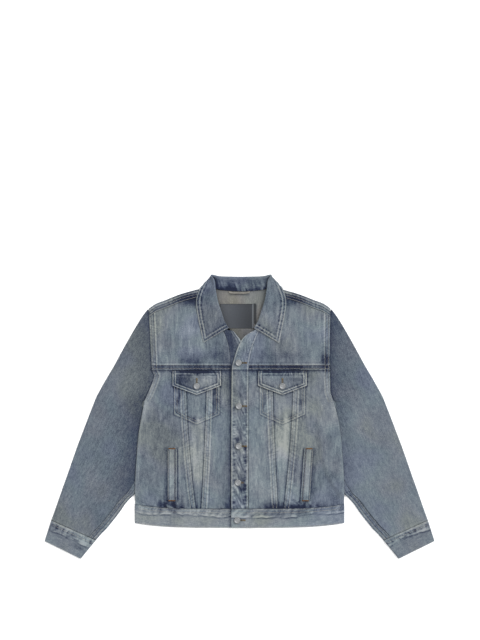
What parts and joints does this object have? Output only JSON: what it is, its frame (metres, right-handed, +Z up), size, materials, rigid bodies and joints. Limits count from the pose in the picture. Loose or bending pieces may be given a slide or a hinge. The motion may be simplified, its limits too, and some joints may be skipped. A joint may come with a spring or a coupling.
{
  "type": "denim jacket",
  "caption": "Denim jacket laid flat on its back, buttoned, with a pointed collar, flap chest pockets, side welt pockets, a waistband and long sleeves with cuffs.",
  "frame": {"origin": "on the surface the jacket lies on, at the middle of its bounding box", "axes": "+X towards the wearer's left sleeve, +Y from the hem to the collar, +Z up from the surface through back and front"},
  "size_m": [0.9742, 0.7103, 0.015],
  "materials": {
    "denim": "washed indigo twill, matt, paler at seams and edges",
    "pocketing": "thin woven cotton, matt",
    "woven_label": "plain dark grey woven patch, blank",
    "cotton_tape": "beige cotton tape",
    "button_metal": "dull nickel plate, lightly worn"
  },
  "bodies": {
    "root": {"back": "denim", "back_yoke": "denim", "collar": "denim", "cuff_left": "denim", "cuff_right": "denim", "flap_button_left": "button_metal", "flap_button_right": "button_metal", "front_button_1": "button_metal", "front_button_2": "button_metal", "front_button_3": "button_metal", "front_button_4": "button_metal", "front_button_5": "button_metal", "front_center_left": "denim", "front_center_right": "denim", "front_inner_left": "denim", "front_inner_right": "denim", "front_side_left": "denim", "front_side_right": "denim", "front_yoke_left": "denim", "front_yoke_right": "denim", "hanger_loop": "cotton_tape", "neck_label": "woven_label", "placket_over": "denim", "placket_under": "denim", "pocket_bag_left": "pocketing", "pocket_bag_right": "pocketing", "pocket_flap_left": "denim", "pocket_flap_right": "denim", "top_sleeve_left": "denim", "top_sleeve_right": "denim", "under_sleeve_left": "denim", "under_sleeve_right": "denim", "waistband_back": "denim", "waistband_front_left": "denim", "waistband_front_right": "denim", "welt_left": "denim", "welt_right": "denim"}
  },
  "joints": []
}
